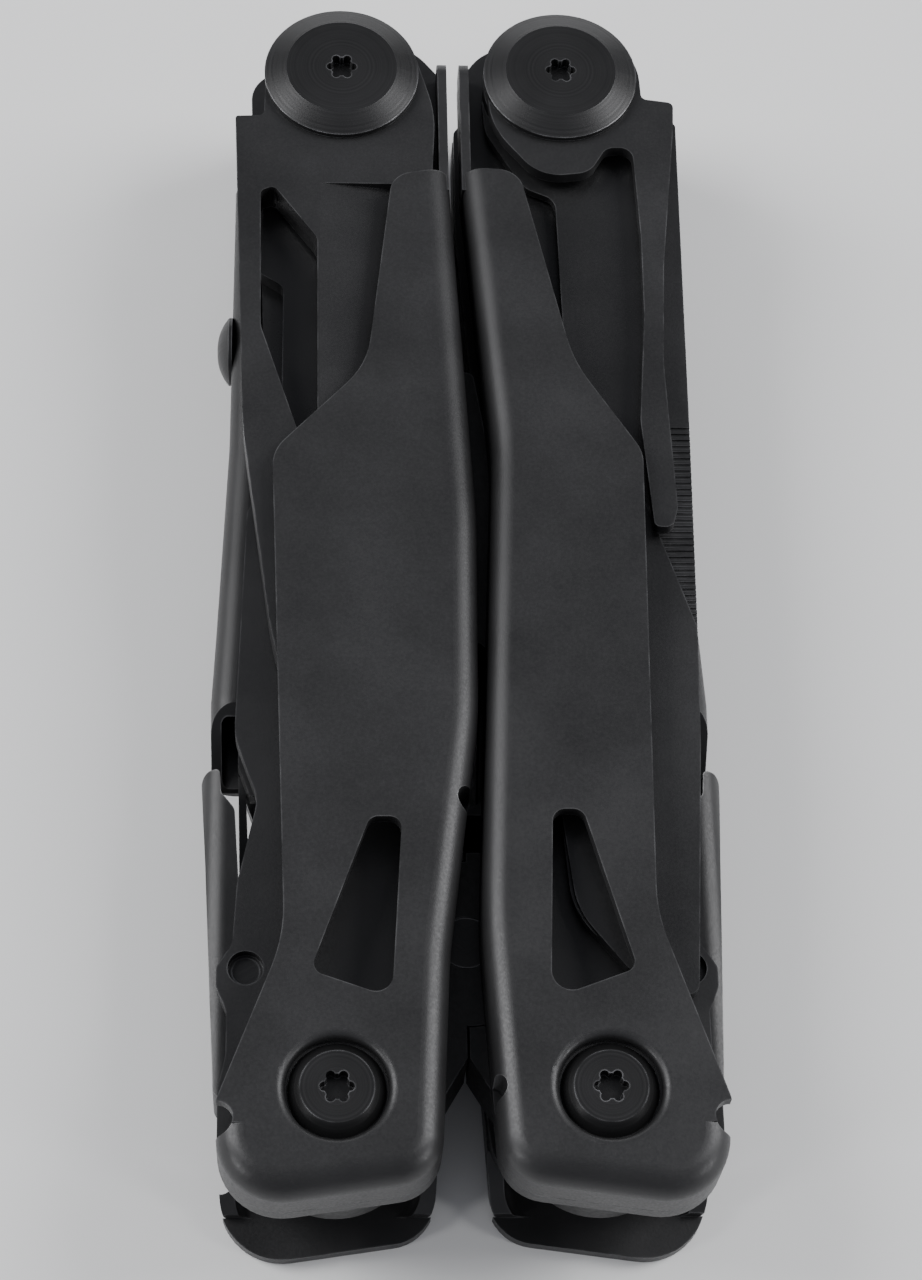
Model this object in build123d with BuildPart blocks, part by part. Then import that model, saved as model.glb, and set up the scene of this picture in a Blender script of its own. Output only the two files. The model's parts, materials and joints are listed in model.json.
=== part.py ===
"""Folding plier multi tool, closed: two handles side by side, pliers folded in between.

X runs across the two handles, Y along them (tool pivots at +Y, plier-arm pivots at -Y) and Z through
the thickness. The tool lies on its back covers at Z = 0. "Level" means height above the middle plane.
"""
from build123d import *
from math import atan2, cos, hypot, sin
import os

# ---- driving dimensions, millimetres ----
LENGTH = 114.3
THICKNESS = 19.4
DISC_R = 7.12              # big chamfered heads at the tool pivots
DISC_FLAT_R = 5.1
DISC_CHAMFER = 0.83
SCREW_R = 3.94             # small heads at the arm pivots
SCREW_FLAT_R = 2.94
SCREW_HEAD = 1.28
TOOL_PIVOT_X = 10.15
TOOL_PIVOT_Y = LENGTH / 2 - DISC_R
ARM_PIVOT_X = 10.7
ARM_PIVOT_Y = -48.5
PLIER_PIVOT_Y = -34.0
SPINE_X = 22.0             # outermost face of the rocker levers

# ---- layers, as levels above the middle plane (the back half mirrors them) ----
MID = THICKNESS / 2
FACE = MID                 # outside of the covers and bolt heads
SHEET = 1.2                # cover sheet
POCKET_TOP = FACE - SHEET  # inside of the covers
BLADE_TOP = 8.3
BLADE_LOW = 5.2
LINER_TOP = 4.7
LINER_LOW = 3.2
CHANNEL = 3.1              # half thickness of what runs between the liners
BEND = 2.2                 # outside bend radius of the rolled cover edges
GAP = 0.05                 # running clearance on a radius

BARREL_R = 3.2             # sleeve that the tools turn on
BOLT_R = 2.4
ARM_BARREL_R = 2.9
ARM_BOLT_R = 1.9
LOBE_R = 1.4               # six-lobe recess
ROCKER_PIN = (-18.0, -36.8)
ROCKER_PIN_R = 1.15
RIVET_Y = 24.9
TAB_TOP = TOOL_PIVOT_Y + 2.2
INNER_LEVELS = ((1.15, CHANNEL), (-0.95, 0.95), (-CHANNEL, -1.15))

FRONT_BACK = Plane.XY.offset(MID)
LEFT_TOOL = (-TOOL_PIVOT_X, TOOL_PIVOT_Y)
RIGHT_TOOL = (TOOL_PIVOT_X, TOOL_PIVOT_Y)
LEFT_ARM = (-ARM_PIVOT_X, ARM_PIVOT_Y)
RIGHT_ARM = (ARM_PIVOT_X, ARM_PIVOT_Y)

os.makedirs("parts", exist_ok=True)


# ---- helpers ----
def finish(piece, name):
    """Label a finished piece and write its STEP file."""
    piece.label = name
    export_step(piece, f"parts/{name}.step")


def slab(corners, low, high):
    """Flat plate between two levels. Each corner is (x, y, corner radius)."""
    with BuildPart() as plate:
        with BuildSketch(Plane.XY.offset(MID + low)):
            with BuildLine():
                FilletPolyline(
                    *[(x, y) for x, y, r in corners],
                    radius=[r for x, y, r in corners],
                    close=True,
                )
            make_face()
        extrude(amount=high - low)
    return plate.part


def disc(centre, radius, low, high):
    """Round plate or peg along Z between two levels."""
    with BuildPart() as plate:
        with BuildSketch(Plane.XY.offset(MID + low)):
            with Locations(centre):
                Circle(radius)
        extrude(amount=high - low)
    return plate.part


def ring(centre, outer, inner, low, high):
    """Washer or spacer along Z between two levels."""
    with BuildPart() as washer:
        add(disc(centre, outer, low, high))
        add(disc(centre, inner, low - 1, high + 1), mode=Mode.SUBTRACT)
    return washer.part


def mirrored(piece, about):
    """A piece's twin across a plane."""
    with BuildPart() as twin:
        mirror(piece, about=about)
    return twin.part


def grind(start, end, width, low, high, edge=0.12):
    """Two wedges to cut from a blade so that it thins to an edge running from start to end.

    The blade lies on the left of the line from start to end, width is how far the grind reaches into it.
    """
    length = hypot(end[0] - start[0], end[1] - start[1])
    along = Vector(end[0] - start[0], end[1] - start[1], 0).normalized()
    inward = Vector(-along.Y, along.X, 0)
    half = (high - low) / 2
    slope = (half - edge) / width
    beyond = 3.0
    wedge_plane = Plane(origin=(start[0], start[1], MID + (low + high) / 2), x_dir=inward, z_dir=along)
    with BuildPart() as wedges:
        with BuildSketch(wedge_plane):
            with BuildLine():
                Polyline(
                    (-beyond, edge - beyond * slope),
                    (width, half),
                    (width, half + 1),
                    (-beyond, half + 1),
                    close=True,
                )
            make_face()
            mirror(about=Plane.XZ)
        extrude(amount=length)
    return wedges.part


def lobe_recess(centre, depth, top):
    """Six-lobe socket sunk from a level."""
    with BuildPart() as socket:
        with BuildSketch(Plane.XY.offset(MID + top - depth)):
            with Locations(centre):
                Circle(LOBE_R * 0.74)
                with PolarLocations(LOBE_R * 0.72, 6):
                    Circle(LOBE_R * 0.27)
        extrude(amount=depth + 0.5)
    return socket.part


def turned(centre, profile):
    """Solid of revolution about a Z axis, profile given as (radius, level) points."""
    with BuildPart() as body:
        with BuildSketch(Plane.XZ.offset(-centre[1])):
            with BuildLine():
                Polyline(*[(centre[0] + r, MID + level) for r, level in profile], close=True)
            make_face()
        revolve(axis=Axis((centre[0], centre[1], 0), (0, 0, 1)))
    return body.part


# ---- covers: rolled sheet over the outer-tool pockets ----
LEFT_INNER = [(-2.5, -55.4, 4.0), (-1.6, -37, 40), (1.15, -16, 40), (1.4, 3, 60), (-0.4, 38.9, 0)]
LEFT_OUTER = [(-5.6, 37.9, 2.2), (-8.0, 17.6, 8), (-16.2, 8.8, 3.6), (-14.9, -36, 14), (-20.1, -49.6, 3)]
RIGHT_INNER = [(2.2, -55.4, 4.0), (0.95, -34, 60), (2.95, 10, 40), (0.8, 38.9, 0)]
RIGHT_OUTER = [(5.9, 38.6, 2.4), (10.2, 18.2, 14), (15.9, 9.0, 3.4), (15.0, -34, 14), (20.1, -49.6, 3)]
OUTER_CORNER = (20.05, -57.885, 5.2)
NOTCH = (20.0, -50.9)
NOTCH_R = 1.25
NOTCH_SLOT_X = 17.4
NOTCH_SLOT_HALF = 0.5
FLAT_END_Y = -53.6          # below this the back covers are flat sheet with no end wall
LEFT_WINDOW = [(-8.0, -25.6, 1.0), (-5.4, -25.6, 1.0), (-6.35, -41.2, 1.4), (-12.8, -38.9, 1.0)]
RIGHT_WINDOW = [(6.9, -24.9, 1.1), (9.35, -24.9, 1.1), (13.2, -38.7, 1.0), (6.25, -41.3, 1.6)]
SCREW_WELL = SCREW_R + 0.16


def cover_pocket(side, inner):
    """Room under the cover: its outline drawn in by the sheet thickness on the walled sides."""
    drawn_in = [(x + side * SHEET, y + (SHEET if y < -50 else 0), max(r - SHEET, 0)) for x, y, r in inner]
    far = side * 26
    corner_x = side * (OUTER_CORNER[0] - SHEET)
    corners = drawn_in + [
        (drawn_in[-1][0], 60, 0),
        (far, 60, 0),
        (far, NOTCH[1] - 0.4, 0),
        (corner_x, NOTCH[1] - 0.4, 0),
        (corner_x, OUTER_CORNER[1] + SHEET, OUTER_CORNER[2] - SHEET),
    ]
    with BuildPart() as room:
        add(slab(corners, 0, POCKET_TOP))
        rim = room.faces().sort_by(Axis.Z)[-1].edges()
        walled = rim.filter_by(lambda e: side * e.center().X < 4.5 and e.center().Y < 38)
        walled += rim.filter_by(lambda e: e.center().Y < NOTCH[1] - 1.2 and side * e.center().X > 4.5)
        fillet(walled, BEND - SHEET)
    return room.part


WALL_SLOPE = 4.5             # length over which a back cover's side walls run out


def cover(side, inner, outer, window, arm, end_wall):
    """Front cover of one handle: face, rolled inner wall with a stop tab on top, and end wall."""
    corners = inner + outer + [(side * OUTER_CORNER[0], OUTER_CORNER[1], OUTER_CORNER[2])]
    notch = (side * NOTCH[0], NOTCH[1])
    with BuildPart() as shell:
        add(slab(corners, LINER_TOP + GAP, FACE))
        # a slot ends the rolled edge squarely and is filled again up to the round notch
        with Locations((side * (NOTCH_SLOT_X + 5), NOTCH[1], MID)):
            Box(10, 2 * NOTCH_SLOT_HALF, 40, mode=Mode.SUBTRACT)
        rim = shell.faces().sort_by(Axis.Z)[-1].edges()
        walled = rim.filter_by(lambda e: side * e.center().X < 3.3 and e.center().Y < 38)
        walled += rim.filter_by(lambda e: e.center().Y < NOTCH[1] - 1.0 and side * e.center().X > 3.3)
        fillet(walled, BEND)
        filling = [
            (side * (NOTCH_SLOT_X - 0.2), NOTCH[1] - NOTCH_SLOT_HALF, 0),
            (side * (NOTCH[0] - 0.9), NOTCH[1] - NOTCH_SLOT_HALF, 0),
            (side * (NOTCH[0] - 0.9), NOTCH[1] + NOTCH_SLOT_HALF, 0),
            (side * (NOTCH_SLOT_X - 0.2), NOTCH[1] + NOTCH_SLOT_HALF, 0),
        ]
        add(slab(filling, LINER_TOP + GAP, FACE))
        add(disc(notch, NOTCH_R, 0, FACE + 1), mode=Mode.SUBTRACT)
    tab_outside = inner[-1][0]
    tab = [
        (tab_outside, 37.2, 0),
        (tab_outside + side * 0.85, 37.2, 0),
        (tab_outside + side * 0.85, TAB_TOP, 0),
        (tab_outside, TAB_TOP, 0),
    ]
    with BuildPart() as upright:
        add(slab(tab, LINER_TOP + GAP, POCKET_TOP))
        top_corner = upright.edges().filter_by(Axis.X).group_by(Axis.Y)[-1].sort_by(Axis.Z)[-1]
        fillet(top_corner, 1.8)
    with BuildPart() as piece:
        add(shell.part)
        add(cover_pocket(side, inner), mode=Mode.SUBTRACT)
        if not end_wall:
            with Locations((0, FLAT_END_Y - 10, MID)):
                Box(60, 20, 40, mode=Mode.SUBTRACT)
            # the side walls run out in a slope towards the flat end
            with BuildSketch(Plane.YZ.offset(-30)):
                with BuildLine():
                    Polyline(
                        (FLAT_END_Y - 1, MID + POCKET_TOP - 0.3),
                        (FLAT_END_Y + WALL_SLOPE, MID + LINER_TOP),
                        (FLAT_END_Y + WALL_SLOPE, MID),
                        (FLAT_END_Y - 1, MID),
                        close=True,
                    )
                make_face()
            extrude(amount=60, mode=Mode.SUBTRACT)
        add(upright.part)
    if not end_wall:
        with BuildPart() as flat_end:
            add(slab(corners, POCKET_TOP, FACE))
            add(disc(notch, NOTCH_R, 0, FACE + 1), mode=Mode.SUBTRACT)
            with Locations((0, FLAT_END_Y + 60, MID)):
                Box(60, 120, 40, mode=Mode.SUBTRACT)
    with BuildPart() as whole:
        add(piece.part)
        if not end_wall:
            add(flat_end.part)
        add(slab(window, 0, FACE + 1), mode=Mode.SUBTRACT)
        add(disc(arm, SCREW_WELL, POCKET_TOP - 1, FACE + 1), mode=Mode.SUBTRACT)
        well = whole.edges().filter_by(GeomType.CIRCLE).filter_by(lambda e: abs(e.radius - SCREW_WELL) < 0.01)
        fillet(well.sort_by(Axis.Z)[-1], SHEET * 0.6)
    return whole.part


with BuildPart() as front_left_cover:
    add(cover(-1, LEFT_INNER, LEFT_OUTER, LEFT_WINDOW, LEFT_ARM, True))
    add(disc((0.3, -23.5), 1.1, 0, FACE + 1), mode=Mode.SUBTRACT)
finish(front_left_cover.part, "front_left_cover")

with BuildPart() as front_right_cover:
    add(cover(1, RIGHT_INNER, RIGHT_OUTER, RIGHT_WINDOW, RIGHT_ARM, True))
    add(disc((1.5, -48.2), 1.1, 0, FACE + 1), mode=Mode.SUBTRACT)
finish(front_right_cover.part, "front_right_cover")

with BuildPart() as back_left_cover:
    mirror(cover(-1, LEFT_INNER, LEFT_OUTER, LEFT_WINDOW, LEFT_ARM, False), about=FRONT_BACK)
finish(back_left_cover.part, "back_left_cover")

with BuildPart() as back_right_cover:
    mirror(cover(1, RIGHT_INNER, RIGHT_OUTER, RIGHT_WINDOW, RIGHT_ARM, False), about=FRONT_BACK)
finish(back_right_cover.part, "back_right_cover")


# ---- liners: the plates between the outer-tool pockets and the channel ----
LEFT_LINER = LEFT_INNER[:-1] + [
    (-0.45, 38.9, 0),
    (-0.45, TAB_TOP, 1.0),
    (-3.6, 56.3, 4.5),
    (-16.8, 56.3, 6),
    (-17.5, 30.4, 0.4),
    (-15.4, 29.0, 0.8),
    (-15.5, 12.0, 3),
    (-18.4, 5.4, 0.6),
    (-19.2, -16.0, 6),
    (-17.15, -21.8, 4),
    (-18.8, -29.5, 6),
    (-19.1, -34.7, 1.5),
    (-20.35, -36.7, 1.0),
    (-20.35, -38.4, 1.0),
    (-19.5, -40.5, 1.0),
    (-19.5, -44.2, 2),
    (-20.1, -47.0, 1),
    (-OUTER_CORNER[0], OUTER_CORNER[1], OUTER_CORNER[2]),
]
RIGHT_LINER = RIGHT_INNER[:-1] + [
    (0.85, 38.9, 0),
    (0.85, TAB_TOP, 1.0),
    (3.6, 56.3, 4.5),
    (16.8, 56.3, 6),
    (17.0, 30, 2),
    (15.0, 14, 3),
    (18.4, 5.4, 1.0),
    (19.2, -16.0, 6),
    (18.8, -29.5, 6),
    (19.1, -34.7, 1.5),
    (20.35, -36.7, 1.0),
    (20.35, -38.4, 1.0),
    (19.5, -40.5, 1.0),
    (19.5, -44.2, 2),
    (20.1, -47.0, 1),
    OUTER_CORNER,
]


def liner(corners, tool, arm, pin, rise):
    """Front liner with its pivot holes and the stepped hole of the rocker pin.

    Rise is how much shorter its lower end is than the cover's.
    """
    shortened = [(x, y + (rise if y < ARM_PIVOT_Y else 0), r) for x, y, r in corners]
    with BuildPart() as plate:
        add(slab(shortened, LINER_LOW, LINER_TOP))
        add(disc(tool, BARREL_R + GAP, 0, FACE), mode=Mode.SUBTRACT)
        add(disc(arm, ARM_BARREL_R + GAP, 0, FACE), mode=Mode.SUBTRACT)
        add(disc(pin, ROCKER_PIN_R, 0, FACE), mode=Mode.SUBTRACT)
        add(disc(pin, ROCKER_PIN_R + 0.3, LINER_TOP - PIN_SUNK, FACE), mode=Mode.SUBTRACT)
    return plate.part


BACK_LINER_RISE = 3.5
PIN_SUNK = 0.9
LEFT_PIN = ROCKER_PIN
RIGHT_PIN = (-ROCKER_PIN[0], ROCKER_PIN[1])
for side_name, corners, tool, arm, pin in (
    ("left", LEFT_LINER, LEFT_TOOL, LEFT_ARM, LEFT_PIN),
    ("right", RIGHT_LINER, RIGHT_TOOL, RIGHT_ARM, RIGHT_PIN),
):
    front_liner = liner(corners, tool, arm, pin, 0)
    finish(front_liner, f"front_{side_name}_liner")
    short_liner = liner(corners, tool, arm, pin, BACK_LINER_RISE)
    finish(mirrored(short_liner, FRONT_BACK), f"back_{side_name}_liner")


# ---- pivot hardware ----
def tool_bolt(tool):
    """Big chamfered head on the front with its shank."""
    head_low = BLADE_TOP + GAP
    with BuildPart() as bolt:
        add(
            turned(
                tool,
                [
                    (0, FACE),
                    (DISC_FLAT_R, FACE),
                    (DISC_R, FACE - DISC_CHAMFER),
                    (DISC_R, head_low),
                    (BOLT_R, head_low),
                    (BOLT_R, -6.5),
                    (0, -6.5),
                ],
            )
        )
        add(lobe_recess(tool, 1.1, FACE), mode=Mode.SUBTRACT)
    return bolt.part


def tool_nut(tool):
    """Big chamfered head on the back with the barrel that the tools turn on."""
    head_top = -BLADE_TOP - GAP
    bore = BOLT_R + GAP
    with BuildPart() as nut:
        add(
            turned(
                tool,
                [
                    (0, -FACE),
                    (DISC_FLAT_R, -FACE),
                    (DISC_R, -FACE + DISC_CHAMFER),
                    (DISC_R, head_top),
                    (BARREL_R, head_top),
                    (BARREL_R, BLADE_TOP),
                    (bore, BLADE_TOP),
                    (bore, -6.6),
                    (0, -6.6),
                ],
            )
        )
    return nut.part


def arm_screw(arm):
    """Small cone-edged head in the cover's well, with its shank."""
    with BuildPart() as screw:
        add(
            turned(
                arm,
                [
                    (0, FACE),
                    (SCREW_FLAT_R, FACE),
                    (SCREW_R, FACE - SCREW_HEAD),
                    (ARM_BOLT_R, FACE - SCREW_HEAD),
                    (ARM_BOLT_R, -6.5),
                    (0, -6.5),
                ],
            )
        )
        add(lobe_recess(arm, 1.1, FACE), mode=Mode.SUBTRACT)
    return screw.part


def arm_nut(arm):
    """Back head of the arm pivot with the barrel that the plier arm turns on."""
    bore = ARM_BOLT_R + GAP
    barrel_top = FACE - SCREW_HEAD - GAP
    with BuildPart() as nut:
        add(
            turned(
                arm,
                [
                    (0, -FACE),
                    (SCREW_FLAT_R, -FACE),
                    (SCREW_R, -FACE + SCREW_HEAD),
                    (ARM_BARREL_R, -FACE + SCREW_HEAD),
                    (ARM_BARREL_R, barrel_top),
                    (bore, barrel_top),
                    (bore, -6.6),
                    (0, -6.6),
                ],
            )
        )
    return nut.part


def both_faces(centre, outer, inner, low, high):
    """The same ring in the front pocket and in the back pocket."""
    with BuildPart() as pair:
        add(ring(centre, outer, inner, low, high))
        mirror(about=FRONT_BACK)
    return pair.part


for side_name, tool, arm in (("left", LEFT_TOOL, LEFT_ARM), ("right", RIGHT_TOOL, RIGHT_ARM)):
    finish(tool_bolt(tool), f"{side_name}_tool_bolt")
    finish(tool_nut(tool), f"{side_name}_tool_nut")
    finish(arm_screw(arm), f"{side_name}_arm_screw")
    finish(arm_nut(arm), f"{side_name}_arm_nut")
    washers = both_faces(tool, 5.6, BARREL_R + GAP, LINER_TOP + 0.03, BLADE_LOW - 0.03)
    finish(washers, f"{side_name}_tool_washers")
    spacers = both_faces(arm, 5.0, ARM_BARREL_R + GAP, LINER_TOP + 0.02, FACE - SCREW_HEAD - 0.02)
    finish(spacers, f"{side_name}_arm_spacers")


# ---- spines: formed bar above, rocker lever below, leaf spring inside ----
BAR_WALL = 0.9
BAR_INNER = -17.7
BAR_INNER_TOP = -18.5        # the flanges narrow beside the tangs of the inner tools
BAR_ROUNDING = 2.1
HOLLOW_ROUNDING = 0.6
LEAF_HALF = 2.0
BAR_LEVEL = LINER_LOW
BAR_END_Y = -18.1            # the slanted cut ends just above the rocker's nose


def rounded_bar(outside_x, half_level, radius):
    """Long bar whose outside edges are rounded, to shape a spine piece by intersection."""
    with BuildPart() as bar:
        with BuildSketch(Plane.XZ.offset(-60)):
            with BuildLine():
                FilletPolyline(
                    (outside_x, MID - half_level),
                    (outside_x, MID + half_level),
                    (outside_x + 12, MID + half_level),
                    (outside_x + 12, MID - half_level),
                    radius=[radius, radius, 0, 0],
                    close=True,
                )
            make_face()
        extrude(amount=120)
    return bar.part


def spine_bar():
    """Formed channel along the left spine, open towards the tools, its lower end cut aslant."""
    wall = [
        (-19.9, 41.5, 0),
        (-20.1, 14.0, 60),
        (-20.95, -4.7, 40),
        (-21.3, -11.5, 8),
        (-21.2, BAR_END_Y, 0),
    ]
    outside = [(BAR_INNER, 41.5, 0)] + wall + [(BAR_INNER, BAR_END_Y, 0)]
    tang_room = [
        (-17, 43, 0),
        (BAR_INNER_TOP, 43, 0),
        (BAR_INNER_TOP, 33, 0),
        (BAR_INNER, 28, 0),
        (-17, 28, 0),
    ]
    inside = [(x + BAR_WALL, y, 0) for x, y, r in wall]
    inside = [(BAR_INNER + 1, 43, 0), (-19.0, 43, 0)] + inside + [(-20.3, -21, 0), (BAR_INNER + 1, -21, 0)]
    half_hollow = BAR_LEVEL - BAR_WALL
    with BuildPart() as hollow:
        add(slab(inside, -half_hollow, half_hollow))
        corners = hollow.edges().filter_by(lambda e: abs(abs(e.center().Z - MID) - half_hollow) < 0.01)
        fillet(corners.filter_by(lambda e: e.center().X < -18.95), HOLLOW_ROUNDING)
    with BuildPart() as bar:
        add(slab(outside, -BAR_LEVEL, BAR_LEVEL))
        long_edges = bar.edges().filter_by(lambda e: abs(abs(e.center().Z - MID) - BAR_LEVEL) < 0.01)
        fillet(long_edges.filter_by(lambda e: e.center().X < -19.95), BAR_ROUNDING)
        add(hollow.part, mode=Mode.SUBTRACT)
        add(slab(tang_room, -BAR_LEVEL - 1, BAR_LEVEL + 1), mode=Mode.SUBTRACT)
        with BuildSketch(Plane.YZ.offset(-30)):
            with BuildLine():
                Polyline(
                    (-11.2, MID + BAR_LEVEL + 1),
                    (BAR_END_Y, MID - BAR_LEVEL + 0.6),
                    (BAR_END_Y, MID - BAR_LEVEL - 1),
                    (-30, MID - BAR_LEVEL - 1),
                    (-30, MID + BAR_LEVEL + 1),
                    close=True,
                )
            make_face()
        extrude(amount=20, mode=Mode.SUBTRACT)
    return bar.part


def rocker():
    """Lever in the lower part of the left spine: thumb edge outside, pin lug inside."""
    corners = [
        (-SPINE_X, -18.3, 0.85),
        (-21.5, -26.5, 30),
        (-20.5, -47.2, 1.0),
        (-18.5, -47.2, 0.9),
        (-18.5, -42.5, 1.5),
        (-16.3, -40.2, 2),
        (-16.3, -33.4, 2),
        (-18.6, -30.0, 2),
        (-19.1, -22.0, 1.0),
        (-20.25, -20.5, 0.6),
        (-20.4, -18.3, 0.45),
    ]
    with BuildPart() as lever:
        add(slab(corners, -3.05, 3.05))
        add(rounded_bar(-SPINE_X, 3.05, 2.3), mode=Mode.INTERSECT)
        add(disc(ROCKER_PIN, ROCKER_PIN_R + GAP, -4, 4), mode=Mode.SUBTRACT)
    return lever.part


def lock_spring():
    """Leaf spring behind the left spine bar, its forked end showing above the rocker."""
    leaf_outline = [(-18.9, 30, 0), (-18.3, 30, 0), (-18.3, -17.5, 0), (-18.9, -17.5, 0)]
    front_prong = [(-18.9, -17.5, 0), (-18.3, -17.5, 0), (-17.2, -20.4, 0), (-17.9, -20.4, 0)]
    back_prong = [(-18.9, -17.5, 0), (-18.3, -17.5, 0), (-17.9, -26.5, 0), (-18.7, -26.5, 0)]
    with BuildPart() as leaf:
        add(slab(leaf_outline, -LEAF_HALF, LEAF_HALF))
        add(slab(front_prong, 0.5, LEAF_HALF))
        add(slab(back_prong, -LEAF_HALF, -0.5))
    return leaf.part


for side_name, twin in (("left", False), ("right", True)):
    for piece, name in ((spine_bar(), "spine_bar"), (rocker(), "rocker"), (lock_spring(), "lock_spring")):
        finish(mirrored(piece, Plane.YZ) if twin else piece, f"{side_name}_{name}")
    pin_centre = RIGHT_PIN if twin else LEFT_PIN
    finish(disc(pin_centre, ROCKER_PIN_R, -LINER_TOP, LINER_TOP - PIN_SUNK), f"{side_name}_rocker_pin")

RIVET_BASE = -20.0
RIVET_HEAD = 1.36
RIVET_HEAD_R = 3.1
RIVET_SHANK_R = 1.2
RIVET_INNER = -18.0
with BuildPart() as spine_rivet:
    with BuildSketch(FRONT_BACK):
        with BuildLine():
            Polyline((RIVET_INNER, RIVET_Y), (RIVET_BASE - RIVET_HEAD, RIVET_Y))
            ThreePointArc(
                (RIVET_BASE - RIVET_HEAD, RIVET_Y),
                (RIVET_BASE - RIVET_HEAD * 0.8, RIVET_Y + RIVET_HEAD_R * 0.58),
                (RIVET_BASE - RIVET_HEAD * 0.23, RIVET_Y + RIVET_HEAD_R),
            )
            Polyline(
                (RIVET_BASE - RIVET_HEAD * 0.23, RIVET_Y + RIVET_HEAD_R),
                (RIVET_BASE, RIVET_Y + RIVET_HEAD_R),
                (RIVET_BASE, RIVET_Y + RIVET_SHANK_R),
                (RIVET_INNER, RIVET_Y + RIVET_SHANK_R),
                (RIVET_INNER, RIVET_Y),
            )
        make_face()
    revolve(axis=Axis((0, RIVET_Y, MID), (1, 0, 0)))
finish(spine_rivet.part, "left_spine_rivet")


# ---- outer tools on the front ----
PIVOT_HOLE = BARREL_R + GAP

with BuildPart() as knife:
    add(
        slab(
            [
                (-19.9, 45.3, 0.3),
                (-17.3, 45.4, 0.5),
                (-17.0, 55.2, 6.0),
                (-4.2, 55.8, 5.0),
                (-1.5, 46.0, 14),
                (-1.85, 39.4, 1.0),
                (-2.4, 37.6, 0),
                (-1.7, -6.0, 22),
                (-10.2, -24.6, 0.4),
                (-15.9, -10.0, 30),
                (-18.8, 12.0, 40),
            ],
            BLADE_LOW,
            BLADE_TOP,
        )
    )
    add(disc(LEFT_TOOL, PIVOT_HOLE, 0, FACE), mode=Mode.SUBTRACT)
    add(
        slab(
            [
                (-17.5, 37.0, 0.6),
                (-16.3, 37.5, 0.6),
                (-12.35, 31.9, 1.6),
                (-12.3, 6.0, 0.4),
                (-17.35, 22.4, 3),
            ],
            0,
            FACE,
        ),
        mode=Mode.SUBTRACT,
    )
    add(grind((-2.1, -30.0), (-2.1, 37.9), 10.0, BLADE_LOW, BLADE_TOP), mode=Mode.SUBTRACT)
    add(grind((-12.2, -25.5), (-1.6, -7.5), 7.0, BLADE_LOW, BLADE_TOP), mode=Mode.SUBTRACT)
finish(knife.part, "knife")

HOLDER_TOP = 7.05
FILE_TOP = 6.6              # lower part of the file, under the cover
GROUND_TOP = 6.0            # upper part, ground thinner
HOLDER_R = 7.05

with BuildPart() as file_holder:
    add(disc(RIGHT_TOOL, HOLDER_R, BLADE_LOW, HOLDER_TOP))
    bracket = [(6.8, 46, 0), (16.2, 46, 0), (15.8, 43.2, 0.4), (8.4, 41.2, 0.4)]
    add(slab(bracket, GROUND_TOP + 0.05, HOLDER_TOP))
    add(disc(RIGHT_TOOL, PIVOT_HOLE, 0, FACE), mode=Mode.SUBTRACT)
finish(file_holder.part, "file_holder")

with BuildPart() as file_lever:
    add(
        slab(
            [
                (17.7, 47.9, 0.6),
                (20.65, 47.5, 0.6),
                (20.5, 44.5, 20),
                (18.9, 29.5, 30),
                (18.35, 19.0, 20),
                (18.85, 4.2, 1.1),
                (18.3, 2.2, 0.9),
                (16.75, 2.4, 0.5),
                (16.0, 13.0, 6),
                (16.85, 24.0, 15),
                (16.95, 32.4, 20),
                (16.6, 42.3, 1.2),
                (14.2, 42.3, 1.3),
                (12.6, 39.5, 2.2),
                (8.0, 38.9, 4),
                (3.6, 44.6, 8),
                (3.1, 55.6, 6),
                (17.4, 55.8, 6),
            ],
            HOLDER_TOP + 0.05,
            BLADE_TOP,
        )
    )
    add(disc(RIGHT_TOOL, PIVOT_HOLE, 0, FACE), mode=Mode.SUBTRACT)
finish(file_lever.part, "file_lever")

RIDGE_PITCH = 0.62
RIDGE_DEPTH = 0.14
RIDGE_TOP_Y = 13.5
RIDGES = 36

with BuildPart() as file_blade:
    # upper part with the ridged edge
    add(
        slab(
            [
                (16.6, 49.0, 0),
                (16.6, 47.0, 0),
                (21.08, 47.0, 0.6),
                (20.6, 12.0, 40),
                (20.2, -8.5, 20),
                (16.6, -30.0, 8),
                (13.4, -37.0, 0.6),
                (8.6, -33.0, 7),
                (7.9, -24.0, 8),
                (9.75, 24.0, 30),
                (9.5, 38.0, 1.6),
                (6.6, 39.3, 2.5),
                (3.2, 45.5, 4),
                (3.0, 49.0, 0),
            ],
            BLADE_LOW,
            GROUND_TOP,
        )
    )
    with Locations(*[(19.0, RIDGE_TOP_Y - RIDGE_PITCH * step, MID + GROUND_TOP) for step in range(RIDGES)]):
        Box(4.6, RIDGE_PITCH * 0.45, 2 * RIDGE_DEPTH, mode=Mode.SUBTRACT)
    # full-thickness lower part, stepped up along a slanted line
    add(
        slab(
            [
                (13.6, 14.3, 0),
                (20.14, -6.5, 1.2),
                (19.85, -17.0, 60),
                (18.45, -40.4, 1.0),
                (12.8, -37.5, 0.6),
                (8.9, -32.5, 7),
                (7.9, -24.0, 8),
                (9.2, 14.3, 0),
            ],
            BLADE_LOW,
            FILE_TOP,
        )
    )
    add(disc(RIGHT_TOOL, HOLDER_R + 0.05, 0, FACE), mode=Mode.SUBTRACT)
finish(file_blade.part, "file_blade")


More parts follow.
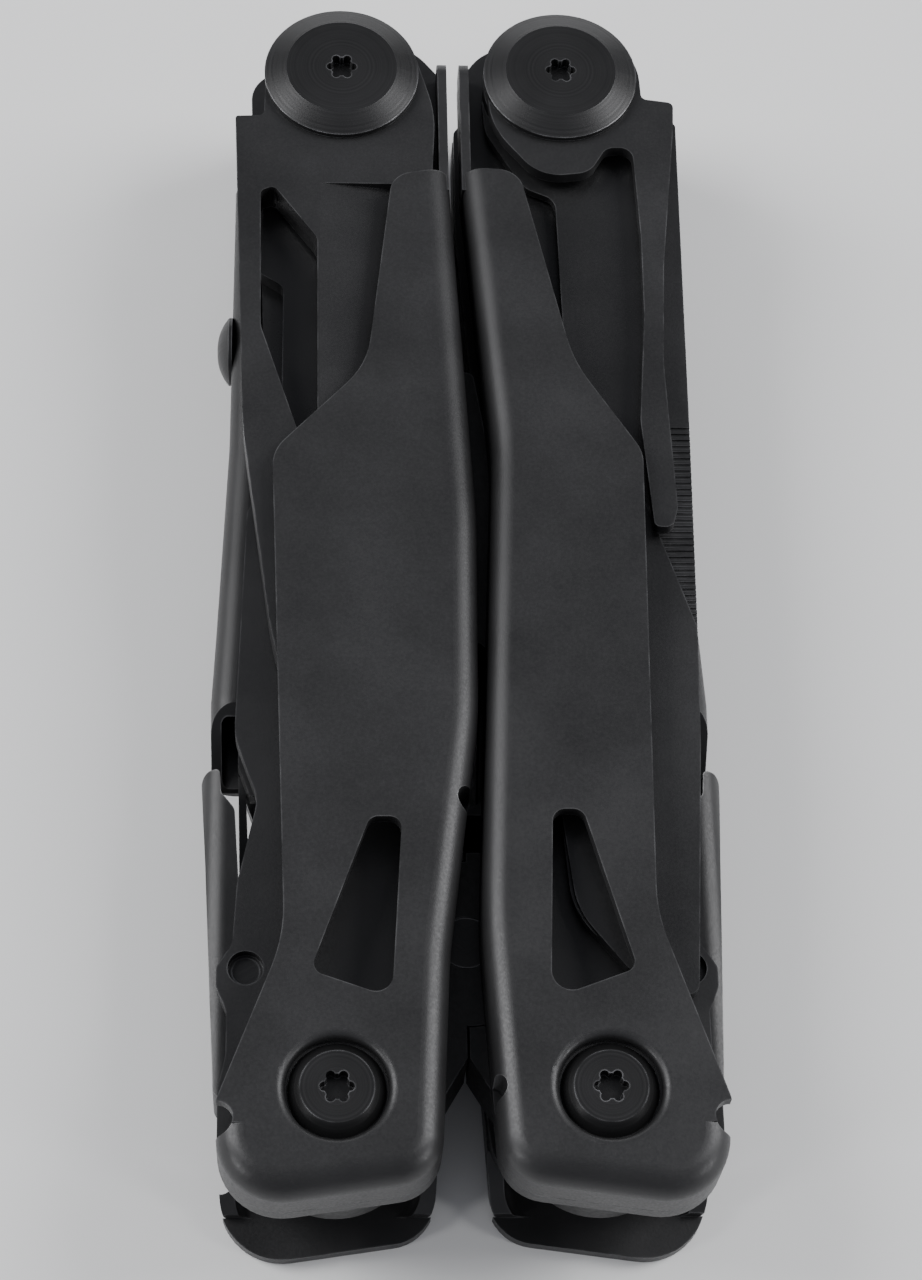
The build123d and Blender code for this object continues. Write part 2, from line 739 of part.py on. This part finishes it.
# ---- outer tools on the back ----
with BuildPart() as serrated_blade:
    add(
        slab(
            [
                (-19.9, 45.3, 0.3),
                (-17.3, 45.4, 0.5),
                (-17.0, 55.2, 6.0),
                (-4.2, 55.8, 5.0),
                (-1.5, 46.0, 14),
                (-1.85, 39.4, 1.0),
                (-2.4, 37.6, 0),
                (-2.2, -18.0, 5),
                (-9.5, -24.6, 3),
                (-15.4, -10.0, 30),
                (-18.8, 12.0, 40),
            ],
            -BLADE_TOP,
            -BLADE_LOW,
        )
    )
    add(disc(LEFT_TOOL, PIVOT_HOLE, -FACE, FACE), mode=Mode.SUBTRACT)
    add(
        slab([(-17.3, 36.0, 1.8), (-12.8, 36.0, 1.8), (-12.8, 14.0, 1.7), (-16.6, 14.0, 1.6)], -FACE, FACE),
        mode=Mode.SUBTRACT,
    )
    add(grind((-2.3, -30.0), (-2.3, 37.9), 8.0, -BLADE_TOP, -BLADE_LOW), mode=Mode.SUBTRACT)
    with Locations(*[(-1.3, 33.0 - 3.4 * step, MID - BLADE_LOW - 1.55) for step in range(15)]):
        Cylinder(1.75, 4, mode=Mode.SUBTRACT)
finish(serrated_blade.part, "serrated_blade")

SAW_TOP = -BLADE_LOW
SAW_LOW = -7.0
with BuildPart() as saw:
    add(
        slab(
            [
                (20.1, 46.9, 0.6),
                (17.6, 47.0, 0.6),
                (17.4, 55.8, 6),
                (3.1, 55.6, 6),
                (2.6, 41.0, 6),
                (4.4, 36.0, 2),
                (4.4, -26.0, 3),
                (13.6, -27.0, 3),
                (19.0, 5.0, 20),
            ],
            SAW_LOW,
            SAW_TOP,
        )
    )
    add(disc(RIGHT_TOOL, PIVOT_HOLE, -FACE, FACE), mode=Mode.SUBTRACT)
    add(
        slab([(17.2, 36.0, 1.8), (13.0, 36.0, 1.8), (13.0, 16.0, 1.7), (16.9, 16.0, 1.7)], -FACE, FACE),
        mode=Mode.SUBTRACT,
    )
    with Locations(*[(4.4, 33.0 - 2.0 * step, MID + (SAW_LOW + SAW_TOP) / 2) for step in range(28)]):
        Box(1.5, 1.5, 4, rotation=(0, 0, 45), mode=Mode.SUBTRACT)
finish(saw.part, "saw")


# ---- inner tools, stacked in the spine half of each channel ----
def inner_tool(side, tip, slot):
    """Square-shouldered tang on the tool pivot with a blade outline given relative to the pivot."""
    low, high = INNER_LEVELS[slot]
    tang = [(-8.2, -6.2, 1.5), (-8.4, 2.6, 3.2), (-3.6, 6.4, 3.0)]
    tang = tang + [(4.4, 6.4, 3.0), (8.4, 3.0, 2.4), (8.2, -6.6, 2.6)]
    placed = [(side * (TOOL_PIVOT_X - x), TOOL_PIVOT_Y + y, r) for x, y, r in tip + tang]
    centre = (side * TOOL_PIVOT_X, TOOL_PIVOT_Y)
    with BuildPart() as tool:
        add(slab(placed, low, high))
        add(disc(centre, PIVOT_HOLE, -FACE, FACE), mode=Mode.SUBTRACT)
    return tool.part


LARGE_DRIVER = [(1.0, -14, 6), (-0.6, -20, 8), (-0.9, -56, 0.3), (-6.3, -56, 0.3), (-7.2, -20, 8)]
SMALL_DRIVER = [(0.4, -13, 6), (-2.6, -18, 4), (-2.9, -50, 0.3), (-5.9, -50, 0.3), (-6.6, -18, 4)]
CAN_OPENER = [
    (1.2, -12, 4),
    (0.4, -26, 2),
    (-2.6, -28, 0.6),
    (-3.4, -33, 1.2),
    (0.2, -36, 1.0),
    (-1.6, -42, 2),
    (-6.8, -40, 3),
    (-7.4, -20, 6),
]
AWL = [(0.8, -12, 6), (-1.2, -28, 12), (-5.8, -50, 0.3), (-7.0, -28, 12)]
BOTTLE_OPENER = [
    (1.6, -12, 4),
    (0.8, -24, 1.5),
    (-3.2, -25.5, 1.2),
    (-3.6, -31, 1.6),
    (0.4, -32.5, 0.8),
    (-0.6, -38, 1.5),
    (-6.8, -38, 2.5),
    (-7.4, -20, 6),
]
BIT_DRIVER = [(1.4, -13, 6), (0.2, -18, 3), (0.2, -40, 1.2), (-7.2, -40, 1.2), (-7.2, -18, 3)]

for side, name, tip, slot in (
    (-1, "large_screwdriver", LARGE_DRIVER, 0),
    (-1, "can_opener", CAN_OPENER, 1),
    (-1, "awl", AWL, 2),
    (1, "bit_driver", BIT_DRIVER, 0),
    (1, "bottle_opener", BOTTLE_OPENER, 1),
    (1, "small_screwdriver", SMALL_DRIVER, 2),
):
    finish(inner_tool(side, tip, slot), name)


# ---- pliers, folded between the handles ----
HUB_R = 7.2
HUB_GAP = 0.03
HALF_GAP = 0.1
NECK_HALF_WIDTH = 5.0
PLIER_BOLT_R = 2.2
ARM_END_R = 6.8
JAW_TIP_Y = 21.0
INSERT_LOW_Y = -26.0
INSERT_HIGH_Y = -22.6
INSERT_MIDDLE_Y = (INSERT_LOW_Y + INSERT_HIGH_Y) / 2
INSERT_DEPTH = 3.4
CUTTER_SCREW_R = 0.88
PLIER_PIVOT = (0, PLIER_PIVOT_Y)


def plier_half():
    """Left arm, hub lapping over the front, and right jaw."""
    arm_direction = atan2(ARM_PIVOT_Y - PLIER_PIVOT_Y, -ARM_PIVOT_X)
    across = (-sin(arm_direction), cos(arm_direction))
    neck = []
    for centre, reach in (
        (LEFT_ARM, ARM_END_R),
        (PLIER_PIVOT, NECK_HALF_WIDTH),
        (PLIER_PIVOT, -NECK_HALF_WIDTH),
        (LEFT_ARM, -ARM_END_R),
    ):
        neck.append((centre[0] + reach * across[0], centre[1] + reach * across[1], 0))
    jaw = [
        (5.6, -30.5, 2),
        (7.4, -24.0, 4),
        (7.0, -14.0, 14),
        (4.6, 2.0, 14),
        (1.7, JAW_TIP_Y, 0.7),
        (HALF_GAP, JAW_TIP_Y, 0),
        (HALF_GAP, -5.5, 0.3),
        (2.7, -7.0, 2.2),
        (2.7, -20.6, 2.0),
        (HALF_GAP, -22.2, 0),
        (HALF_GAP, -30.5, 0),
    ]
    with BuildPart() as half:
        add(disc(LEFT_ARM, ARM_END_R, -CHANNEL, CHANNEL))
        add(slab(neck, -CHANNEL, CHANNEL))
        # the two arms stop short of each other below the hub
        with Locations((15 - HALF_GAP, PLIER_PIVOT_Y - 15, MID)):
            Box(30, 30, 20, mode=Mode.SUBTRACT)
        add(slab(jaw, -CHANNEL, CHANNEL))
        add(disc(PLIER_PIVOT, HUB_R, -CHANNEL, CHANNEL))
        add(disc(PLIER_PIVOT, HUB_R + 0.1, -CHANNEL - 1, HUB_GAP), mode=Mode.SUBTRACT)
        add(disc(LEFT_ARM, ARM_BARREL_R + GAP, -FACE, FACE), mode=Mode.SUBTRACT)
        add(disc(PLIER_PIVOT, PLIER_BOLT_R + GAP, -FACE, FACE), mode=Mode.SUBTRACT)
        # seat of the wire-cutter insert and the hole of its screw
        seat = [
            (-1, INSERT_LOW_Y, 0),
            (INSERT_DEPTH, INSERT_LOW_Y, 0),
            (INSERT_DEPTH, INSERT_HIGH_Y, 0),
            (-1, INSERT_HIGH_Y, 0),
        ]
        add(slab(seat, -CHANNEL - 1, CHANNEL + 1), mode=Mode.SUBTRACT)
        with Locations(Location((5.4, INSERT_MIDDLE_Y, MID), (0, 90, 0))):
            Cylinder(CUTTER_SCREW_R + 0.02, 6, mode=Mode.SUBTRACT)
        # gripping teeth of the needle nose
        with Locations(*[(HALF_GAP, JAW_TIP_Y - 1.5 - 1.2 * step, MID) for step in range(20)]):
            Box(0.5, 0.5, 8, rotation=(0, 0, 45), mode=Mode.SUBTRACT)
    return half.part


def cutter_insert():
    """Wedge-edged cutter held in the right jaw."""
    outline = [
        (HALF_GAP, INSERT_LOW_Y, 0),
        (INSERT_DEPTH, INSERT_LOW_Y, 0),
        (INSERT_DEPTH, INSERT_HIGH_Y, 0),
        (HALF_GAP, INSERT_HIGH_Y, 0),
    ]
    with BuildPart() as insert:
        add(slab(outline, -CHANNEL, CHANNEL))
        for way in (1, -1):
            with BuildSketch(Plane.XZ.offset(-INSERT_HIGH_Y - 1)):
                with BuildLine():
                    Polyline(
                        (HALF_GAP - 1, MID + way * 0.2),
                        (HALF_GAP, MID + way * 0.2),
                        (1.8, MID + way * (CHANNEL + 0.1)),
                        (HALF_GAP - 1, MID + way * (CHANNEL + 0.1)),
                        close=True,
                    )
                make_face()
            extrude(amount=8, mode=Mode.SUBTRACT)
        with Locations(Location((2.8, INSERT_MIDDLE_Y, MID), (0, 90, 0))):
            Cylinder(CUTTER_SCREW_R + 0.02, 1.6, mode=Mode.SUBTRACT)
    return insert.part


def cutter_screw():
    """Small screw that runs in from the jaw's outer side."""
    with BuildPart() as screw:
        with Locations(Location((4.55, INSERT_MIDDLE_Y, MID), (0, 90, 0))):
            Cylinder(CUTTER_SCREW_R, 5.0)
    return screw.part


for name, build in (
    ("plier_jaw", plier_half),
    ("cutter_insert", cutter_insert),
    ("cutter_screw", cutter_screw),
):
    finish(build(), f"right_{name}")
    turned_over = build().rotate(Axis((0, 0, MID), (0, 1, 0)), 180)
    finish(turned_over, f"left_{name}")

with BuildPart() as plier_bolt:
    add(turned(PLIER_PIVOT, [(0, CHANNEL), (PLIER_BOLT_R, CHANNEL), (PLIER_BOLT_R, -CHANNEL), (0, -CHANNEL)]))
finish(plier_bolt.part, "plier_pivot_pin")
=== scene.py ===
"""Folding plier multi tool: looks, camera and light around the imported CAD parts."""

import json
from math import cos, radians, sin

import bpy
from mathutils import Matrix, Vector


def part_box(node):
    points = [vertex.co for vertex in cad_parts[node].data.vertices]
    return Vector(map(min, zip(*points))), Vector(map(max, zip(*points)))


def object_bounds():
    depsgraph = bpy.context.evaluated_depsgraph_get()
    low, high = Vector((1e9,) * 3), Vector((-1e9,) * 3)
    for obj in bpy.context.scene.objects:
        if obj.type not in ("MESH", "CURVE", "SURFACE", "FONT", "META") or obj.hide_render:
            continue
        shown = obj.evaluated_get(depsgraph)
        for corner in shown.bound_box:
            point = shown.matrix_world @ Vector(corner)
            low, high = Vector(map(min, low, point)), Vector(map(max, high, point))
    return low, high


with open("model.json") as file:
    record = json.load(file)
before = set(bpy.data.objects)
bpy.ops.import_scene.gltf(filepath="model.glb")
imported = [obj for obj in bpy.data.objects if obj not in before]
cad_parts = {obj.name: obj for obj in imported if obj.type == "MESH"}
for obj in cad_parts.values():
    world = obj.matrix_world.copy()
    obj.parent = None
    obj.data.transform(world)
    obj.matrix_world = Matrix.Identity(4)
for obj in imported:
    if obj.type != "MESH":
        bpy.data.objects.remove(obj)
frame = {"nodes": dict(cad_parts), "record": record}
start_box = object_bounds()
nodes = frame["nodes"]


# ---- node helpers ----
class Tree:
    """Short names for building a material's node tree."""

    def __init__(self, name):
        self.material = bpy.data.materials.new(name)
        self.material.use_nodes = True
        self.tree = self.material.node_tree
        self.tree.nodes.clear()
        self.output = self.tree.nodes.new("ShaderNodeOutputMaterial")
        self.shader = self.tree.nodes.new("ShaderNodeBsdfPrincipled")
        self.tree.links.new(self.shader.outputs["BSDF"], self.output.inputs["Surface"])
        self.coords = self.tree.nodes.new("ShaderNodeTexCoord").outputs["Object"]

    def node(self, kind, **settings):
        made = self.tree.nodes.new(kind)
        for key, value in settings.items():
            setattr(made, key, value)
        return made

    def link(self, output, target):
        self.tree.links.new(output, target)

    def noise(self, scale, detail=2.0, stretch=(1, 1, 1)):
        mapping = self.node("ShaderNodeMapping")
        mapping.inputs["Scale"].default_value = stretch
        self.link(self.coords, mapping.inputs["Vector"])
        texture = self.node("ShaderNodeTexNoise")
        texture.inputs["Scale"].default_value = scale
        texture.inputs["Detail"].default_value = detail
        self.link(mapping.outputs["Vector"], texture.inputs["Vector"])
        return texture.outputs["Fac"]

    def ramp(self, value, low, high, out_low=0.0, out_high=1.0):
        made = self.node("ShaderNodeMapRange")
        made.inputs["From Min"].default_value = low
        made.inputs["From Max"].default_value = high
        made.inputs["To Min"].default_value = out_low
        made.inputs["To Max"].default_value = out_high
        self.link(value, made.inputs["Value"])
        return made.outputs["Result"]

    def math(self, operation, first, second):
        made = self.node("ShaderNodeMath", operation=operation)
        for socket, value in zip(made.inputs, (first, second)):
            if isinstance(value, (int, float)):
                socket.default_value = value
            else:
                self.link(value, socket)
        return made.outputs["Value"]

    def mix(self, factor, first, second):
        made = self.node("ShaderNodeMix", data_type="RGBA")
        self.link(factor, made.inputs["Factor"])
        for socket, value in ((made.inputs[6], first), (made.inputs[7], second)):
            if isinstance(value, tuple):
                socket.default_value = value + (1.0,)
            else:
                self.link(value, socket)
        return made.outputs[2]

    def edges(self, radius):
        """1 on sharp edges, 0 on flats: how far the rounded normal leaves the true one."""
        bevel = self.node("ShaderNodeBevel", samples=6)
        bevel.inputs["Radius"].default_value = radius
        geometry = self.node("ShaderNodeNewGeometry")
        dot = self.node("ShaderNodeVectorMath", operation="DOT_PRODUCT")
        self.link(bevel.outputs["Normal"], dot.inputs[0])
        self.link(geometry.outputs["Normal"], dot.inputs[1])
        return self.ramp(dot.outputs["Value"], 0.995, 0.86)

    def bump(self, height, strength, distance, before=None):
        made = self.node("ShaderNodeBump")
        made.inputs["Strength"].default_value = strength
        made.inputs["Distance"].default_value = distance
        self.link(height, made.inputs["Height"])
        if before is not None:
            self.link(before, made.inputs["Normal"])
        return made.outputs["Normal"]


WEAR_RADIUS = 0.00022          # how far a rubbed edge reaches in from the corner, in metres
STEEL_WEAR = 0.6
STEEL_METALLIC = 0.55
RUBBED_STEEL = (0.20, 0.20, 0.205)
HEAD_WEAR = 0.8
HEAD_METALLIC = 0.6
RUBBED_HEAD = (0.24, 0.24, 0.25)


def shaded(base, factor):
    """The same hue, darker or lighter."""
    return tuple(channel * factor for channel in base)


def black_steel(name, base, rough, grain, grain_depth, brush=None):
    """Black-oxide steel: fine grain, cloudy roughness, rubbed edges and optional brush lines."""
    t = Tree(name)
    cloud = t.noise(90.0, 4.0)
    sand = t.noise(grain, 2.0)
    speck = t.noise(grain * 0.31, 3.0)
    tone = t.mix(t.ramp(cloud, 0.3, 0.7), shaded(base, 0.82), shaded(base, 1.18))
    tone = t.mix(t.ramp(speck, 0.66, 0.76, 0.0, 0.2), tone, shaded(base, 1.6))
    patchy = t.ramp(t.noise(420.0, 5.0), 0.38, 0.66)
    worn = t.math("MULTIPLY", t.edges(WEAR_RADIUS), t.math("MULTIPLY", patchy, STEEL_WEAR))
    colour = t.mix(worn, tone, RUBBED_STEEL)
    t.link(colour, t.shader.inputs["Base Color"])
    t.shader.inputs["Metallic"].default_value = STEEL_METALLIC
    clouded = t.ramp(cloud, 0.3, 0.7, rough - 0.04, rough + 0.05)
    roughness = t.math("ADD", clouded, t.ramp(sand, 0.3, 0.7, -0.05, 0.05))
    roughness = t.math("SUBTRACT", roughness, t.math("MULTIPLY", worn, 0.12))
    t.link(roughness, t.shader.inputs["Roughness"])
    normal = t.bump(sand, 0.55, grain_depth)
    normal = t.bump(speck, 0.3, grain_depth * 1.6, normal)
    if brush:
        lines = t.noise(2600.0, 3.0, brush)
        normal = t.bump(lines, 0.35, grain_depth, normal)
    t.link(normal, t.shader.inputs["Normal"])
    return t.material


def turned_steel(name, base, rough, centres):
    """Lathe-turned heads: faint rings about each pivot under the black oxide."""
    t = Tree(name)
    split = t.node("ShaderNodeSeparateXYZ")
    t.link(t.coords, split.inputs["Vector"])
    nearest = None
    for x, y in centres:
        dx = t.math("SUBTRACT", split.outputs["X"], x)
        dy = t.math("SUBTRACT", split.outputs["Y"], y)
        away = t.math("SQRT", t.math("ADD", t.math("MULTIPLY", dx, dx), t.math("MULTIPLY", dy, dy)), 0)
        nearest = away if nearest is None else t.math("MINIMUM", nearest, away)
    rings = t.node("ShaderNodeTexNoise", noise_dimensions="1D")
    rings.inputs["Scale"].default_value = 5200.0
    rings.inputs["Detail"].default_value = 3.0
    t.link(nearest, rings.inputs["W"])
    ring = rings.outputs["Fac"]
    sand = t.noise(5200.0, 2.0)
    cloud = t.noise(160.0, 3.0)
    tone = t.mix(t.ramp(cloud, 0.3, 0.7), shaded(base, 0.8), shaded(base, 1.2))
    patchy = t.ramp(t.noise(520.0, 5.0), 0.36, 0.62)
    worn = t.math("MULTIPLY", t.edges(WEAR_RADIUS), t.math("MULTIPLY", patchy, HEAD_WEAR))
    colour = t.mix(worn, tone, RUBBED_HEAD)
    t.link(colour, t.shader.inputs["Base Color"])
    t.shader.inputs["Metallic"].default_value = HEAD_METALLIC
    t.link(t.ramp(ring, 0.3, 0.7, rough - 0.05, rough + 0.07), t.shader.inputs["Roughness"])
    normal = t.bump(ring, 0.15, 0.000010)
    normal = t.bump(sand, 0.4, 0.000010, normal)
    t.link(normal, t.shader.inputs["Normal"])
    return t.material


def bronze(name):
    """Rubbed phosphor bronze."""
    t = Tree(name)
    cloud = t.noise(300.0, 4.0)
    tone = t.mix(t.ramp(cloud, 0.3, 0.7), (0.36, 0.23, 0.10), (0.52, 0.37, 0.19))
    t.link(tone, t.shader.inputs["Base Color"])
    t.shader.inputs["Metallic"].default_value = 1.0
    t.link(t.ramp(t.noise(1500.0, 2.0), 0.3, 0.7, 0.28, 0.46), t.shader.inputs["Roughness"])
    t.link(t.bump(t.noise(2600.0, 2.0), 0.3, 0.00001), t.shader.inputs["Normal"])
    return t.material


pivots = []
for node in ("left_tool_bolt", "right_tool_bolt", "left_arm_screw", "right_arm_screw"):
    low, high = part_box(node)
    pivots.append(((low.x + high.x) / 2, (low.y + high.y) / 2))

looks = {
    "cover_steel": black_steel("cover_black", (0.029, 0.029, 0.0302), 0.41, 4200.0, 0.000012),
    "liner_steel": black_steel("liner_black", (0.027, 0.027, 0.0282), 0.42, 4600.0, 0.000010, (0.12, 1, 1)),
    "blade_steel": black_steel("blade_black", (0.030, 0.030, 0.0312), 0.39, 4800.0, 0.000010, (1, 0.10, 1)),
    "tool_steel": black_steel("tool_black", (0.030, 0.030, 0.031), 0.32, 4800.0, 0.000008, (0.12, 1, 1)),
    "spine_steel": black_steel("spine_black", (0.024, 0.024, 0.0248), 0.38, 4200.0, 0.000010),
    "plier_steel": black_steel("plier_black", (0.020, 0.020, 0.0206), 0.46, 2600.0, 0.00002),
    "bolt_steel": turned_steel("bolt_black", (0.021, 0.021, 0.0218), 0.37, pivots),
    "bronze": bronze("bronze_washer"),
}
for entry in frame["record"]["subparts"]:
    piece = nodes[entry["node"]]
    piece.data.materials.clear()
    piece.data.materials.append(looks[entry["material_slot"]])

# every cut edge of the real steel is broken a little
BROKEN_EDGE = 0.00012
for piece in nodes.values():
    softened = piece.modifiers.new("broken_edges", "BEVEL")
    softened.width = BROKEN_EDGE
    softened.segments = 2
    softened.limit_method = "ANGLE"
    softened.angle_limit = radians(35)
    softened.use_clamp_overlap = True


# ---- floor ----
def floor_material():
    t = Tree("pale_floor")
    t.link(t.ramp(t.noise(14.0, 3.0), 0.3, 0.7, 0.55, 0.62), t.shader.inputs["Roughness"])
    tone = t.mix(t.noise(6.0, 2.0), (0.74, 0.74, 0.74), (0.78, 0.78, 0.78))
    t.link(tone, t.shader.inputs["Base Color"])
    return t.material


FLOOR_REACH = 1.5
FLOOR_DROP = 0.0002            # keeps the floor just clear of the lowest faces
mesh = bpy.data.meshes.new("floor")
floor_corners = [(x * FLOOR_REACH, y * FLOOR_REACH, 0) for x, y in ((-1, -1), (1, -1), (1, 1), (-1, 1))]
mesh.from_pydata(floor_corners, [], [(0, 1, 2, 3)])
mesh.materials.append(floor_material())
floor = bpy.data.objects.new("floor", mesh)
bpy.context.scene.collection.objects.link(floor)
floor.location.z = start_box[0][2] - FLOOR_DROP


# ---- light ----
def area(name, where, aim, size, power):
    """Rectangular soft light at one place, aimed at another."""
    light = bpy.data.lights.new(name, "AREA")
    light.shape = "RECTANGLE"
    light.size, light.size_y = size
    light.energy = power
    lamp = bpy.data.objects.new(name, light)
    bpy.context.scene.collection.objects.link(lamp)
    lamp.location = where
    lamp.rotation_euler = (Vector(aim) - Vector(where)).to_track_quat("-Z", "Y").to_euler()


MIDDLE = (0, 0, 0.01)
LOWER_END = (0, -0.03, 0.01)
area("left_softbox", (-0.58, 0.16, 0.46), MIDDLE, (0.35, 0.60), 6.0)
area("right_softbox", (0.58, 0.16, 0.46), MIDDLE, (0.35, 0.60), 5.6)
area("left_corner", (-0.55, -0.28, 0.22), LOWER_END, (0.12, 0.16), 1.1)
area("right_corner", (0.55, -0.28, 0.22), LOWER_END, (0.12, 0.16), 1.1)
area("far_strip", (0.0, 0.75, 0.16), MIDDLE, (0.8, 0.14), 1.2)

world = bpy.data.worlds.new("studio")
world.use_nodes = True
sky = world.node_tree.nodes["Background"]
sky.inputs["Color"].default_value = (0.9, 0.92, 1.0, 1.0)
sky.inputs["Strength"].default_value = 0.34
bpy.context.scene.world = world

# ---- camera ----
SENSOR = 36.0
FOCAL_PIXELS = 3041.5
FRAME_HEIGHT_PIXELS = 1280
CAMERA_PLACE = (-0.01427, -0.12572, 0.24529)
tilt, yaw, roll = radians(27.18), radians(3.54), radians(-1.28)
ahead = Vector((sin(yaw) * cos(tilt), sin(tilt), -cos(tilt) * cos(yaw))).normalized()
right = ahead.cross(Vector((0, 1, 0))).normalized()
up = right.cross(ahead)
rolled_right = cos(roll) * right + sin(roll) * up
rolled_up = cos(roll) * up - sin(roll) * right
view = bpy.data.cameras.new("view")
view.sensor_width = SENSOR
view.lens = FOCAL_PIXELS / FRAME_HEIGHT_PIXELS * SENSOR
view.clip_start = 0.01
camera = bpy.data.objects.new("view", view)
bpy.context.scene.collection.objects.link(camera)
columns = Matrix((rolled_right, rolled_up, -ahead)).transposed().to_4x4()
columns.translation = CAMERA_PLACE
camera.matrix_world = columns
bpy.context.scene.camera = camera
